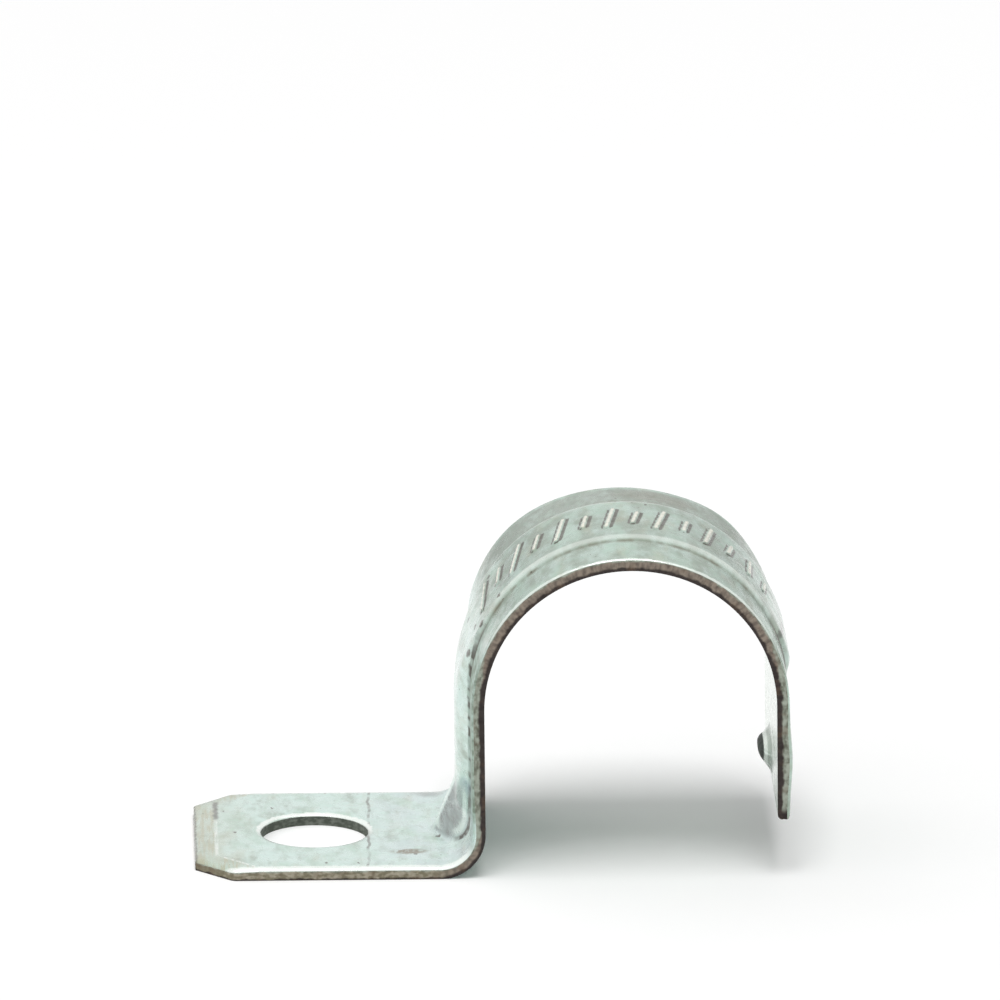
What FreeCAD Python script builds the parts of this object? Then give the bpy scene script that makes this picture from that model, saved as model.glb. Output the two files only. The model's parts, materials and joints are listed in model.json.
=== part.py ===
import FreeCAD, Part
import math
import os
from collections import namedtuple

from FreeCAD import Vector

# One-hole strap for 1/2 inch EMT conduit, pressed from one strip of zinc-plated steel:
# a flat foot with the screw hole, a bend stiffened by a gusset, a riser, a half-round arch that
# takes the conduit, and a free leg with a nib that the conduit snaps past. A raised rib runs up
# the riser and over the arch. Every pressed form keeps the sheet's thickness: what is raised on
# one face is a recess of the same shape in the other.
#
# Frame: the origin is the centre of the screw hole on the wall plane. +X runs from the foot to
# the conduit, +Y along the conduit and +Z away from the wall. Lengths in mm, angles in degrees.

# Strip
sheet = 0.8             # thickness
strap_width = 15.9      # along the conduit
edge_roll = 0.25        # rounding that the blanking die leaves round the raised face

# Foot
hole_dia = 6.7          # clears a 1/4 inch screw
hole_roll = 0.25        # rounding that the punch leaves at the top of the hole
hole_to_nose = 7.5      # from the hole's centre to the end of the foot
nose_corner = 2.3       # 45 degree corners of the nose
coin_width = 1.3        # band that is coined down along the nose
coin_drop = 0.08

# Seat for the conduit
conduit_dia = 17.93     # outside diameter of 1/2 inch EMT
seat_play = 0.085       # radial
hole_to_seat = 19.42    # from the hole's centre to the seat's axis
seat_height = 10.86     # of the seat's axis above the wall plane
seat_lean = 0.6         # the riser leans over the foot, so that the screw draws the arch down
leg_drop = 7.3          # end of the free leg below the seat's axis

# Bend between foot and riser
bend_radius = 2.0       # on its hollow side
gusset_reach = 2.33     # from the riser's outer face to the gusset's tip on the foot
gusset_slope = 67.6     # of its crest above the foot
gusset_flank = 19.0     # fall of its two flanks from the crest
gusset_crest = 0.5      # crest radius

# Rib
rib_width = 8.7         # at its root
rib_flat = 7.2          # flat top over the arch
rib_rise = 0.3          # over the crown
rib_end_rise = 0.42     # where it ends, on the free leg's side
rib_end_span = 40.0     # of the arch, over which it gains that rise
riser_rise = 0.87       # on the riser, where the rib is domed instead of flat
riser_flat = 2.6        # top of the dome
dome_start = 142.0      # the flat rib starts to swell into the dome here, where 180 is the riser's side
dome_end = 192.0        # and would be full here
rib_runout = 0.9        # the rib dies out on the free leg, this far below the seat's axis
bend_start = 0.2        # and in the bend, at this share of the turn
rib_step = 15.0         # between the rib's sections along the arch

# Shoulders of the pressed forms
shoulder_inset = 0.45   # share of the way from the flat top to the root
shoulder_rise = 0.8     # share of the form's rise

# Snap nib on the free leg
nib_drop = 4.85         # peak below the seat's axis
nib_rise = 0.85         # from the leg's inner face
nib_width = 6.0         # along the conduit, at its root
nib_crest = 1.2         # along the conduit, on top
nib_above = 1.0         # length of its steep side, towards the seat
nib_below = 1.7         # length of its lead-in side, towards the leg's end
nib_taper = 0.5         # its two ends' width, as a share of its own

# Settings of the solid modelling, too small to see
embed = 0.05            # how far below a face a pressed form starts
overshoot = 1.0         # how far a cutter passes the faces that it cuts

seat_radius = conduit_dia / 2 + seat_play
arch_radius = seat_radius + sheet
half_width = strap_width / 2
tilt = math.radians(seat_lean)
bend_angle = 90 + seat_lean
bend_z = sheet + bend_radius
bend_x = hole_to_seat - (arch_radius + bend_radius + (bend_z - seat_height) * math.sin(tilt)) / math.cos(tilt)

# One cross-section of a pressed form: a point on the face that it rises from, the direction in
# which it rises, its rise, and half its width at the root and on top.
Station = namedtuple("Station", "base out rise root flat")


def from_seat(along, up):
    """A point given from the seat's axis, in the leaning frame of the arch and its legs."""
    x = hole_to_seat + along * math.cos(tilt) - up * math.sin(tilt)
    z = seat_height + along * math.sin(tilt) + up * math.cos(tilt)
    return Vector(x, 0, z)


def seat_direction(along, up):
    return from_seat(along, up) - from_seat(0, 0)


def on_arch(radius, degrees):
    """A point of the arch: 0 is the free leg's side, 90 the crown and 180 the riser's side."""
    angle = math.radians(degrees)
    return from_seat(radius * math.cos(angle), radius * math.sin(angle))


def on_bend(radius, degrees):
    """A point of the bend: 0 is where the foot ends and bend_angle where the riser starts."""
    angle = math.radians(degrees)
    return Vector(bend_x + radius * math.sin(angle), 0, bend_z - radius * math.cos(angle))


def eased(share):
    """Zero up to 0, one from 1 on, and a smooth rise between them."""
    held = min(1.0, max(0.0, share))
    return held * held * (3 - 2 * held)


def mixed(start, end, share):
    return start + (end - start) * share


def line(start, end):
    return Part.LineSegment(start, end).toShape()


def arc(start, middle, end):
    return Part.Arc(start, middle, end).toShape()


def bend_arc(radius):
    return arc(on_bend(radius, 0), on_bend(radius, bend_angle / 2), on_bend(radius, bend_angle))


def closed_wire(edges):
    return Part.Wire(Part.__sortEdges__(edges))


def across(outline, half_length):
    """The outline, which lies in the XZ plane, as a solid that runs along the conduit."""
    face = Part.Face(outline)
    face.translate(Vector(0, -half_length, 0))
    return face.extrude(Vector(0, 2 * half_length, 0))


def raised_path():
    """The side view of the face that the rib rises from, from the nose to the free leg's end."""
    return [
        line(Vector(-hole_to_nose, 0, sheet), on_bend(bend_radius, 0)),
        bend_arc(bend_radius),
        line(on_bend(bend_radius, bend_angle), on_arch(arch_radius, 180)),
        arc(on_arch(arch_radius, 180), on_arch(arch_radius, 90), on_arch(arch_radius, 0)),
        line(on_arch(arch_radius, 0), from_seat(arch_radius, -leg_drop)),
    ]


def back_path():
    """The side view of the other face, which meets the wall and the conduit."""
    return [
        line(Vector(-hole_to_nose, 0, 0), on_bend(bend_radius + sheet, 0)),
        bend_arc(bend_radius + sheet),
        line(on_bend(bend_radius + sheet, bend_angle), on_arch(seat_radius, 180)),
        arc(on_arch(seat_radius, 180), on_arch(seat_radius, 90), on_arch(seat_radius, 0)),
        line(on_arch(seat_radius, 0), from_seat(seat_radius, -leg_drop)),
    ]


def bent_sheet():
    """The strip bent to its side view, with square edges."""
    nose = line(Vector(-hole_to_nose, 0, 0), Vector(-hole_to_nose, 0, sheet))
    leg_end = line(from_seat(seat_radius, -leg_drop), from_seat(arch_radius, -leg_drop))
    return across(closed_wire(raised_path() + back_path() + [nose, leg_end]), half_width)


def nose_outline():
    """The foot's end seen from above: the two 45 degree corners and the straight nose."""
    shoulder = nose_corner - hole_to_nose
    flat_half = half_width - nose_corner
    return [
        Vector(shoulder, -half_width, 0),
        Vector(-hole_to_nose, -flat_half, 0),
        Vector(-hole_to_nose, flat_half, 0),
        Vector(shoulder, half_width, 0),
    ]


def nose_cutters():
    """Wedges that take off the two corners of the foot's end."""
    near_side, near_nose, far_nose, far_side = nose_outline()
    cutters = []
    for side, nose in ((near_side, near_nose), (far_side, far_nose)):
        run_off = (nose - side).normalize() * overshoot
        corner = Vector(nose.x - overshoot, side.y * (1 + overshoot / half_width), 0)
        points = [side - run_off, nose + run_off, corner]
        face = Part.Face(Part.makePolygon(points + points[:1]))
        face.translate(Vector(0, 0, -overshoot))
        cutters.append(face.extrude(Vector(0, 0, sheet + 2 * overshoot)))
    return cutters


def coin_cutters():
    """Shallow wedges along the nose's three edges, which leave the coined band."""
    outline = nose_outline()
    cutters = []
    for start, end in zip(outline, outline[1:]):
        run = (end - start).normalize()
        inward = Vector(run.y, -run.x, 0)
        if inward.x < 0:
            inward = -inward
        slope = coin_drop / coin_width
        profile = [
            Vector(0, 0, sheet) + inward * coin_width,
            Vector(0, 0, sheet - coin_drop - slope * overshoot) - inward * overshoot,
            Vector(0, 0, sheet + overshoot) - inward * overshoot,
            Vector(0, 0, sheet + overshoot) + inward * coin_width,
        ]
        face = Part.Face(Part.makePolygon(profile + profile[:1]))
        face.translate(start - run * coin_width)
        cutters.append(face.extrude(run * (start.distanceToPoint(end) + 2 * coin_width)))
    return cutters


def roll_edges(solid, radius, wanted):
    """The solid with the edges that wanted() picks rounded as a blanking die leaves them."""
    return solid.makeFillet(radius, [edge for edge in solid.Edges if wanted(edge)])


def is_rim(edge):
    """Whether an edge runs round the raised face of the blank, and isn't a seam between its faces."""
    path = raised_path()
    outline = Part.Wire(path)
    path_ends = [path[0].firstVertex().Point, path[-1].lastVertex().Point]
    middle = edge.valueAt((edge.FirstParameter + edge.LastParameter) / 2)
    start, end, middle = (Vector(point.x, 0, point.z) for point in
                          [vertex.Point for vertex in edge.Vertexes] + [middle])
    on_face = all(outline.distToShape(Part.Vertex(point))[0] < embed for point in (start, end, middle))
    runs_across = start.distanceToPoint(end) < embed
    at_end = any(middle.distanceToPoint(point) < embed for point in path_ends)
    return on_face and (at_end or not runs_across)


def screw_hole(solid):
    """The punched hole, with the punch's rounding at its top."""
    radius = hole_dia / 2
    punch = Part.makeCylinder(radius, sheet + 2 * overshoot, Vector(0, 0, -overshoot))
    punched = solid.cut(punch)

    def is_hole_top(edge):
        return isinstance(edge.Curve, Part.Circle) and edge.Curve.Center.distanceToPoint(
            Vector(0, 0, sheet)) < embed

    return roll_edges(punched, hole_roll, is_hole_top)


def blank():
    """The bent strip with its nose, hole and rolled edges, before the pressed forms."""
    solid = bent_sheet()
    for cutter in nose_cutters():
        solid = solid.cut(cutter)
    solid = roll_edges(solid, edge_roll, is_rim)
    for cutter in coin_cutters():
        solid = solid.cut(cutter)
    return screw_hole(solid)


def pressed_section(station, depth):
    """Closed wire across the strip: square below the face, with eased shoulders above it."""
    shoulder = mixed(station.flat, station.root, shoulder_inset)
    half = [
        (station.root, -depth),
        (station.root, -embed),
        (shoulder, station.rise * shoulder_rise),
        (station.flat, station.rise),
    ]
    outline = [(-y, up) for y, up in half] + half[::-1]
    points = [station.base + station.out * up + Vector(0, y, 0) for y, up in outline]
    return Part.makePolygon(points + points[:1])


def press(solid, stations):
    """Raises a form along the stations on one face and recesses it by as much in the other."""
    raised = Part.makeLoft([pressed_section(station, sheet / 2) for station in stations], True)
    behind = [station._replace(base=station.base - station.out * sheet) for station in stations]
    recess = Part.makeLoft([pressed_section(station, sheet) for station in behind], True)
    return solid.fuse(raised).cut(recess)


def rib_in_bend():
    """The domed rib grows out of the bend: sections at even steps of its turn."""
    centre = Vector(bend_x, 0, bend_z)
    stations = []
    for growth in (0.0, 0.25, 0.5, 0.75):
        base = on_bend(bend_radius, bend_angle * mixed(bend_start, 1.0, growth))
        rise = mixed(-2 * embed, riser_rise, eased(1.3 * growth))
        stations.append(Station(base, (centre - base).normalize(), rise, rib_width / 2, riser_flat / 2))
    return stations


def rib_on_riser():
    foot = on_bend(bend_radius, bend_angle)
    middle = (foot + on_arch(arch_radius, 180)) * 0.5
    out = seat_direction(-1, 0)
    return [Station(base, out, riser_rise, rib_width / 2, riser_flat / 2) for base in (foot, middle)]


def rib_on_arch():
    """The dome sinks to the flat rib, which stands a little higher again where it ends."""
    stations = []
    for index in range(round(180 / rib_step) + 1):
        degrees = 180 - index * rib_step
        dome = eased((degrees - dome_start) / (dome_end - dome_start))
        ending = eased(1 - degrees / rib_end_span)
        rise = mixed(mixed(rib_rise, rib_end_rise, ending), riser_rise, dome)
        flat = mixed(rib_flat, riser_flat, dome) / 2
        base = on_arch(arch_radius, degrees)
        stations.append(Station(base, (base - from_seat(0, 0)).normalize(), rise, rib_width / 2, flat))
    return stations


def rib_stations():
    """Out of the bend, up the riser, over the arch and out on to the free leg."""
    end = from_seat(arch_radius, -rib_runout)
    run_out = Station(end, seat_direction(1, 0), -2 * embed, rib_width / 2, rib_flat / 2)
    return rib_in_bend() + rib_on_riser() + rib_on_arch() + [run_out]


def nib_stations():
    """Along the free leg: a steep side towards the seat and a longer lead-in side below."""
    sections = (
        # up from the peak, share of the rise, share of the width
        (nib_above, 0.0, nib_taper),
        (nib_above / 2, 0.75, mixed(nib_taper, 1.0, 0.75)),
        (0.0, 1.0, 1.0),
        (-nib_below / 2, 0.65, mixed(nib_taper, 1.0, 0.75)),
        (-nib_below, 0.0, nib_taper),
    )
    out = seat_direction(-1, 0)
    stations = []
    for up, height, width in sections:
        base = from_seat(seat_radius, up - nib_drop)
        rise = mixed(-2 * embed, nib_rise, height)
        stations.append(Station(base, out, rise, width * nib_width / 2, width * nib_crest / 2))
    return stations


def gusset_prism(below):
    """Roof-shaped prism along the gusset's crest, moved down square to the crest by `below`."""
    slope = math.radians(gusset_slope)
    up_crest = Vector(math.cos(slope), 0, math.sin(slope))
    out = Vector(-math.sin(slope), 0, math.cos(slope))
    riser_face_x = bend_x + bend_radius / math.cos(tilt)
    tip = Vector(riser_face_x - gusset_reach, 0, sheet) - out * below
    depth = bend_radius + 2 * sheet
    half = depth / math.tan(math.radians(gusset_flank))
    start = tip - up_crest * bend_radius
    corners = [start, start - out * depth + Vector(0, half, 0), start - out * depth - Vector(0, half, 0)]
    face = Part.Face(Part.makePolygon(corners + corners[:1]))
    prism = face.extrude(up_crest * (bend_radius + seat_height))

    def is_crest(edge):
        return all((vertex.Point - start).cross(up_crest).Length < embed for vertex in edge.Vertexes)

    return roll_edges(prism, gusset_crest, is_crest)


def corner_region():
    """What lies on the raised side of the sheet's middle surface, round the bend."""
    middle = bend_radius + sheet / 2
    foot_end = on_bend(middle, 0) - Vector(2 * gusset_reach, 0, 0)
    riser_end = from_seat(-(seat_radius + sheet / 2), 0)
    corner = Vector(foot_end.x, 0, riser_end.z)
    edges = [
        line(foot_end, on_bend(middle, 0)), bend_arc(middle), line(on_bend(middle, bend_angle), riser_end),
        line(riser_end, corner), line(corner, foot_end),
    ]
    return across(closed_wire(edges), half_width - edge_roll)


def press_gusset(solid):
    raised = gusset_prism(0).common(corner_region())
    return solid.fuse(raised).cut(gusset_prism(sheet))


def strap():
    solid = press(blank(), rib_stations())
    solid = press_gusset(solid)
    solid = press(solid, nib_stations())
    return solid.removeSplitter()


os.makedirs("parts", exist_ok=True)
strap().exportStep("parts/strap.step")
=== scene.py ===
import json
import math

import bpy
import numpy as np
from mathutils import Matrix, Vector, noise


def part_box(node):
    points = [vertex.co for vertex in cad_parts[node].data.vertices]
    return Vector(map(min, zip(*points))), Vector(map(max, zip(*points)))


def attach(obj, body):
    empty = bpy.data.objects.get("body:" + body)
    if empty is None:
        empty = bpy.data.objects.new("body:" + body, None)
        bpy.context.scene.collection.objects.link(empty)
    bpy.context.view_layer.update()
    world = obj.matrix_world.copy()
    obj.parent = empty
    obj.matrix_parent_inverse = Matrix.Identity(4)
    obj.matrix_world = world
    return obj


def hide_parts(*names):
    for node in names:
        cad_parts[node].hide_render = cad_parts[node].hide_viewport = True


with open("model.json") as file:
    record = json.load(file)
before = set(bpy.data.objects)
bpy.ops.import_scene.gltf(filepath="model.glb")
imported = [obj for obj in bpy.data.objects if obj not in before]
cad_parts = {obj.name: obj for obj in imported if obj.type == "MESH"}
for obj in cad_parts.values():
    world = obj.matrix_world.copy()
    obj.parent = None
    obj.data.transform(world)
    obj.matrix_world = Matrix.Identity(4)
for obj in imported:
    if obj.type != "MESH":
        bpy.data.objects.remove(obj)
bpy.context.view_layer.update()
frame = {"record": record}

# The strap, in the row frame: the origin is the screw hole's centre on the wall plane, +X runs
# from the foot to the conduit, +Y along the conduit, +Z away from the wall. The mesh is worked
# out in millimetres, on a map of the flat strip (run, across), and is bent into shape last.

MM = 0.001

# Places and sizes that the frame gives, in mm
mounts = {mount["name"]: mount for mount in frame["record"]["mounts"]}
low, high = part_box("strap")
SEAT_X, SEAT_Z = (mounts["conduit_seat"]["pos_m"][i] / MM for i in (0, 2))
SEAT_R = mounts["conduit_seat"]["dims"]["r_mm"]
HOLE_R = mounts["screw_hole"]["dims"]["r_mm"]
NOSE_X = low.x / MM
HALF_WIDTH = high.y / MM

# Sizes of the pressed sheet, in mm, as the CAD part has them or slightly less
SHEET = 0.8
NOSE_CORNER = 2.3
COIN_WIDTH = 1.3
COIN_DROP = 0.08
BEND_R = 2.0
LEAN = math.radians(0.6)
LEG_DROP = 7.3
GUSSET_REACH = 2.33
GUSSET_SLOPE = math.radians(67.6)
GUSSET_FLANK = math.radians(19.0)
GUSSET_CREST = 0.3      # how far its crest is rounded
RIB_ROOT = 4.35         # half the rib's width at its root
RIB_FLAT = 3.6          # and on its flat top over the arch
RIB_START = (0.12, 0.62)        # share of the bend at which the rib begins, and over which it rises
RIB_FULLNESS = 0.75     # under 1, the rib's flanks are fuller
RIB_END_RISE = 0.39
RIB_END_SPAN = (150, 20)        # degrees of the arch at which the rib grows to that, and over how many
RIB_RUNOUT = (169.0, 1.3)       # degrees of the arch at which the rib begins to fade, and over what length
RISER_RISE = 0.86
RISER_FLAT = 1.2        # half the width of the dome's top
DOME_SPAN = (-8.0, 30.0)        # degrees of the arch over which the riser's dome sinks to the flat rib
DOME_FALL = 1.3         # above 1, the dome sinks early
NIB_DROP = 4.85
NIB_RISE = 0.84
NIB_HALF = 3.0          # half the nib's width at its root
NIB_TAPER = 0.5         # its two ends' width, as a share of its own
NIB_ABOVE = 1.0
NIB_BELOW = 1.7
NIB_BLUNT = (1.08, 1.2) # over 1, its top is blunt: along the leg and across it
NIB_FULLNESS = 0.7

# Detail that only the looks need, in mm. Over the crown, the CAD part's rib is as high as this one
# with its ticks.
CROWN = 90              # degrees of the arch
RIB_RISE = 0.18         # over the crown
SHOULDER_RISE = 0.29    # either side of the crown
SHOULDER_SPAN = 45      # degrees from the crown to the shoulders
EDGE_ROLL = (0.50, 0.22)        # width and drop of the rounding that the blanking die leaves
EDGE_FINER = 0.45       # how much smaller that rounding is over the arch
HOLE_ROLL = (0.55, 0.20)
END_ROLL = (0.3, 0.3)   # rounding of the free leg's end, on its inner side
TICK_RISE = 0.13        # raised ticks over the crown
TICK_HALF = 0.21        # half the width of a tick at its foot
TICK_PITCH = 1.5
TICK_SPAN = (30, 152)   # degrees of the arch
TICK_REACHES = (1.9, 1.1)       # half the length of the long and the short ticks
TICK_SLANT = math.radians(9)
FLANGE_DROOP = 0.12     # the flanges sink to their edges over the crown
DROOP_SPAN = 45         # degrees either side of it
FAR_FLARE = 0.26        # the far flange stands out either side of the crown
FLARES = ((48, 24, 1.0), (130, 16, 0.9), (0, 11, -1.0))     # middle and half width in degrees, and share
WAVE = 0.012            # unevenness of the pressed faces
FILLET = 0.16           # how far the pressed forms blend into each other
LEG_SWELL = 0.18        # the free leg's outer face stands out below its middle
LEG_SWELL_SPAN = (3.6, 2.0)     # how far down the leg, and half its length
HOLE_PATCH = 4.6        # half the side of the square that is meshed in rings round the hole
HOLE_RINGS = 16

ARCH_R = SEAT_R + SHEET
COS, SIN = math.cos(LEAN), math.sin(LEAN)
BEND_Z = SHEET + BEND_R
BEND_X = SEAT_X - (ARCH_R + BEND_R + (BEND_Z - SEAT_Z) * SIN) / COS


# ---------------------------------------------------------------- the strip's path

def from_seat(along, up):
    """XZ of a point given from the seat's axis, in the leaning frame of the arch and its legs."""
    return SEAT_X + along * COS - up * SIN, SEAT_Z + along * SIN + up * COS


# The path's stretches, by their length along the sheet's middle
MIDDLE_BEND_R = BEND_R + SHEET / 2
MIDDLE_ARCH_R = SEAT_R + SHEET / 2
riser_foot = (BEND_X + BEND_R * COS, BEND_Z + BEND_R * SIN)
riser_top = from_seat(-ARCH_R, 0)
FOOT_END = BEND_X
BEND_END = FOOT_END + MIDDLE_BEND_R * (math.pi / 2 + LEAN)
RISER_END = BEND_END + math.dist(riser_foot, riser_top)
ARCH_END = RISER_END + MIDDLE_ARCH_R * math.pi
LEG_END = ARCH_END + LEG_DROP


def run_at_arch(degrees):
    """The run of a place on the arch: 0 is the riser's side, 90 the crown, 180 the free leg's side."""
    return RISER_END + MIDDLE_ARCH_R * math.radians(degrees)


def arch_degrees(run):
    """Where on the arch a run is, in the same degrees."""
    return (run - RISER_END) / MIDDLE_ARCH_R * 180 / math.pi


def raised_face(run):
    """Points (x, z) and outward normals (x, z) of the flat raised face at each run. On the foot,
    run is x itself, so the foot's map is true to size."""
    run = np.asarray(run, float)
    foot = np.ones_like(run)
    x, z, nx, nz = run.copy(), SHEET * foot, 0 * foot, foot.copy()

    on = (run > FOOT_END) & (run <= BEND_END)
    turn = (run[on] - FOOT_END) / MIDDLE_BEND_R
    x[on], z[on] = BEND_X + BEND_R * np.sin(turn), BEND_Z - BEND_R * np.cos(turn)
    nx[on], nz[on] = -np.sin(turn), np.cos(turn)

    on = (run > BEND_END) & (run <= RISER_END)
    share = (run[on] - BEND_END) / (RISER_END - BEND_END)
    x[on] = riser_foot[0] + (riser_top[0] - riser_foot[0]) * share
    z[on] = riser_foot[1] + (riser_top[1] - riser_foot[1]) * share
    nx[on], nz[on] = -COS, -SIN

    on = (run > RISER_END) & (run <= ARCH_END)
    turn = math.pi - (run[on] - RISER_END) / MIDDLE_ARCH_R
    x[on], z[on] = from_seat(ARCH_R * np.cos(turn), ARCH_R * np.sin(turn))
    nx[on], nz[on] = np.cos(turn + LEAN), np.sin(turn + LEAN)

    on = run > ARCH_END
    x[on], z[on] = from_seat(ARCH_R, ARCH_END - run[on])
    nx[on], nz[on] = COS, SIN
    return x, z, nx, nz


# ---------------------------------------------------------------- forms, as heights

def smooth(value):
    value = np.clip(value, 0, 1)
    return value * value * (3 - 2 * value)


def mixed(start, end, share):
    return start + (end - start) * share


def blended(a, b):
    """The higher of two heights, with a fillet where they meet."""
    return np.maximum(a, b) + FILLET / 4 * np.clip(1 - np.abs(a - b) / FILLET, 0, 1) ** 2


def bell(value, centre, half_width):
    return np.exp(-((value - centre) / half_width) ** 2)


def rib_height(run, across):
    """The raised rib: domed on the riser, flat over the arch, and highest again where it ends."""
    degrees = arch_degrees(run)
    dome = (1 - smooth((degrees - DOME_SPAN[0]) / (DOME_SPAN[1] - DOME_SPAN[0]))) ** DOME_FALL
    flat_rise = mixed(RIB_RISE, SHOULDER_RISE, smooth(np.abs(degrees - CROWN) / SHOULDER_SPAN))
    flat_rise = mixed(flat_rise, RIB_END_RISE, smooth((degrees - RIB_END_SPAN[0]) / RIB_END_SPAN[1]))
    rise = mixed(flat_rise, RISER_RISE, dome)
    start = mixed(FOOT_END, BEND_END, RIB_START[0])
    rise = rise * smooth((run - start) / (RIB_START[1] * (BEND_END - FOOT_END)))
    rise = rise * (1 - smooth((run - run_at_arch(RIB_RUNOUT[0])) / RIB_RUNOUT[1]))
    flat = mixed(RIB_FLAT, RISER_FLAT, dome)
    share = np.clip((RIB_ROOT - np.abs(across)) / (RIB_ROOT - flat), 0, 1)
    return rise * smooth(share) ** RIB_FULLNESS


def gusset_height(run, across, below):
    """The roof-shaped gusset across the bend, on the raised face (below 0) or the back (below SHEET)."""
    x, z, nx, nz = raised_face(run)
    out_x, out_z = -math.sin(GUSSET_SLOPE), math.cos(GUSSET_SLOPE)
    tip_x = BEND_X + BEND_R / COS - GUSSET_REACH
    facing = nx * out_x + nz * out_z
    aside = np.sqrt(across ** 2 + GUSSET_CREST ** 2) - GUSSET_CREST
    gap = (x - tip_x) * out_x + (z - SHEET) * out_z + aside * math.tan(GUSSET_FLANK)
    height = -(gap + below * (1 - facing)) / np.maximum(facing, 0.2)
    near_bend = (run > FOOT_END - 1.5) & (run < BEND_END + 3.5)
    return np.where(near_bend, height, -1.0)


def nib_height(run, across):
    """How far the snap nib stands inward from the free leg."""
    peak = ARCH_END + NIB_DROP
    steep = 1 - (peak - run) / NIB_ABOVE
    lead_in = 1 - (run - peak) / NIB_BELOW
    along = np.clip(np.minimum(steep, lead_in) * NIB_BLUNT[0], 0, 1)
    reach = NIB_HALF * mixed(NIB_TAPER, 1.0, along)
    side = np.clip(NIB_BLUNT[1] * (1 - np.abs(across) / reach), 0, 1)
    return NIB_RISE * smooth(along) ** NIB_FULLNESS * smooth(side) ** NIB_FULLNESS


def tick_height(run, across):
    """A row of plain raised ticks over the crown, long and short by turns, each a little uneven."""
    height = np.zeros_like(run)
    first, last = (run_at_arch(degrees) for degrees in TICK_SPAN)
    for index in range(int((last - first) / TICK_PITCH) + 1):
        uneven = noise.noise(Vector((index * 3.7, 2.0, 9.0)))
        slant = TICK_SLANT * (1 + 0.8 * uneven)
        offset = run - (first + index * TICK_PITCH) + 0.15 * uneven
        along = across * math.cos(slant) + offset * math.sin(slant)
        aside = offset * math.cos(slant) - across * math.sin(slant)
        reach = TICK_REACHES[index % 2] * (1 + 0.3 * uneven)
        beyond = np.maximum(np.abs(along + 0.3 * uneven) - reach, 0)
        ridge = np.clip(1 - np.hypot(aside, beyond) / TICK_HALF, 0, 1)
        height = np.maximum(height, TICK_RISE * np.minimum(1.5 * ridge, 1))
    return height


def nose_distance(run, across):
    """Distance from the nose and its two corners, inside them, on the flat map."""
    side = HALF_WIDTH - np.abs(across)
    nose = run - NOSE_X
    return np.minimum(nose, (side + nose - NOSE_CORNER) / math.sqrt(2))


def edge_distance(run, across):
    """Distance from the blank's outline, inside it, on the flat map."""
    side = HALF_WIDTH - np.abs(across)
    return np.minimum(np.minimum(side, LEG_END - run), nose_distance(run, across))


def rolled(distance, roll):
    """How far a rolled edge has dropped at a distance from it."""
    width, drop = roll
    share = np.clip(distance / width, 0, 1)
    return drop * (1 - np.sqrt(np.maximum(1 - (1 - share) ** 2, 0)))


def droop(run, across):
    """How far the flanges beside the rib have sunk: most over the crown. The far one flares out
    either side of the crown, and is set in where it meets the riser."""
    degrees = arch_degrees(run)
    outboard = smooth((np.abs(across) - RIB_FLAT) / (HALF_WIDTH - RIB_FLAT))
    both = FLANGE_DROOP * bell(degrees, CROWN, DROOP_SPAN)
    flare = sum(share * bell(degrees, middle, width) for middle, width, share in FLARES)
    return outboard * (both - np.where(across > 0, FAR_FLARE * flare, 0))


def waviness(run, across):
    """Slow unevenness of the sheet, always into it."""
    wave = np.array([
        noise.noise(Vector((r * 0.28, a * 0.33, 3.1))) + 0.5 * noise.noise(Vector((r * 0.8, a * 0.9, 7.7)))
        for r, a in zip(run, across)])
    return -WAVE * (1.3 + wave)


def pressed_forms(run, across):
    """Heights of the pressed forms on the raised face and on the back, each from its own flat face."""
    rib = rib_height(run, across)
    common = rib - nib_height(run, across) - droop(run, across)
    raised = blended(common, gusset_height(run, across, 0.0))
    back = blended(common, gusset_height(run, across, SHEET))
    return raised + tick_height(run, across), back


def form_shares(run, across):
    """Height of the pressed bend and of the nib at each place, as shares of their full heights."""
    pressed = np.maximum(rib_height(run, across), gusset_height(run, across, 0.0))
    return np.clip(pressed / RISER_RISE, 0, 1), nib_height(run, across) / NIB_RISE


HOLLOW_STEP = 0.14      # distance over which hollowness is felt
HOLLOW_FULL = 4.0       # curvature, in 1/mm, that counts as fully hollow


def hollowness(run, across):
    """How hollow (over 0) or crested (under 0) the raised face and the back are at each place. Over
    the ticks it marks the flank away from the light as hollow, for painted shade, and the top as
    crested, for a painted highlight.
    """
    step = HOLLOW_STEP
    here = pressed_forms(run, across)
    around = ((step, 0), (-step, 0), (0, step), (0, -step))
    near = [pressed_forms(run + along, across + aside) for along, aside in around]
    curve = [sum(side[face] for side in near) - 4 * here[face] for face in (0, 1)]
    outside, inside = [np.clip(bend / step ** 2 / HOLLOW_FULL, -1, 1) for bend in (curve[0], -curve[1])]
    # Ticks: the top takes a painted highlight, the flank on the +run side painted shade
    tick = tick_height(run, across) / TICK_RISE
    flank = np.clip(tick_height(run - TICK_HALF, across) / TICK_RISE - tick, 0, 1)
    return np.where(tick + flank > 0.05, flank - 0.9 * tick, outside), inside


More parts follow.
